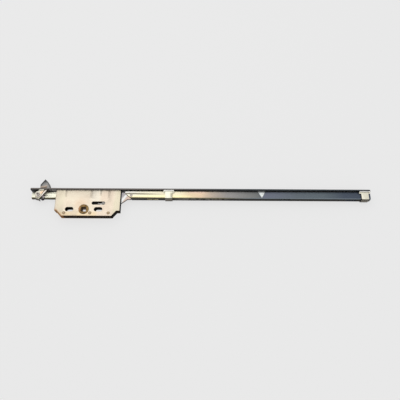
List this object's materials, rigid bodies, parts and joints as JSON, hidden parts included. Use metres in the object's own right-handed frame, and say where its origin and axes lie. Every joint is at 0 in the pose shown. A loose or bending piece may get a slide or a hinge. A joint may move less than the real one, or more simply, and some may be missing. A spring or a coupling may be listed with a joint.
{
  "type": "espagnolette bolt",
  "caption": "Espagnolette bolt for a sliding door: a rack-and-pinion case turns a spindle into rod travel that swings a hook out through a long faceplate.",
  "frame": {"origin": "on the spindle's axis, midway through the case's thickness", "axes": "+X along the faceplate away from the hook, +Y towards the faceplate's front, +Z along the spindle towards the handle"},
  "size_m": [0.5135, 0.059, 0.016],
  "materials": {
    "faceplate_steel": "brushed grey",
    "case_zinc": "pale yellow zinc plate",
    "rod_zinc": "yellow zinc plate",
    "slider_zinc": "bright zinc plate",
    "clip_zinc": "bright zinc plate",
    "hook_steel": "satin nickel plate",
    "rivet_steel": "bright zinc plate",
    "spring_steel": "blued",
    "follower_brass": "cast, dull",
    "runner_nylon": "natural"
  },
  "bodies": {
    "lock_case": {"faceplate": "faceplate_steel", "case_base": "case_zinc", "case_cover": "case_zinc", "case_rivets": "rivet_steel", "case_spacers": "rivet_steel", "follower_spring": "spring_steel", "spring_posts": "rivet_steel", "slider_runner": "runner_nylon", "hook_pivot_pin": "rivet_steel", "near_hook_cheek": "case_zinc", "far_hook_cheek": "case_zinc", "cheek_rivets": "rivet_steel", "near_rod_clip": "clip_zinc", "end_rod_clip": "clip_zinc", "clip_rivets": "rivet_steel"},
    "rods": {"rack_slider": "slider_zinc", "guide_block": "rivet_steel", "main_rod": "rod_zinc", "rod_splice": "slider_zinc", "hook_rod": "rod_zinc", "rod_rivets": "rivet_steel", "hook_drive_pin": "rivet_steel"},
    "spindle_follower": {"follower": "follower_brass"},
    "swing_hook": {"hook": "hook_steel", "hook_bush": "follower_brass"}
  },
  "joints": [
    {"name": "rod_slide", "type": "slide", "parent": "lock_case", "child": "rods", "axis": [-1, 0, 0], "range_m": [0, 0.01178]},
    {"name": "follower_turn", "type": "hinge", "parent": "lock_case", "child": "spindle_follower", "pos_m": [0, 0, 0], "axis": [0, 0, 1], "range_deg": [0, 90]},
    {"name": "hook_swing", "type": "hinge", "parent": "lock_case", "child": "swing_hook", "pos_m": [-0.0708, 0.0237, 0], "axis": [0, 0, -1], "range_deg": [0, 80]}
  ],
  "couplings": [
    {"joint": "follower_turn", "follows": "rod_slide", "rad_per_m": 133.33},
    {"joint": "hook_swing", "follows": "rod_slide", "rad_per_m": 118.5}
  ]
}
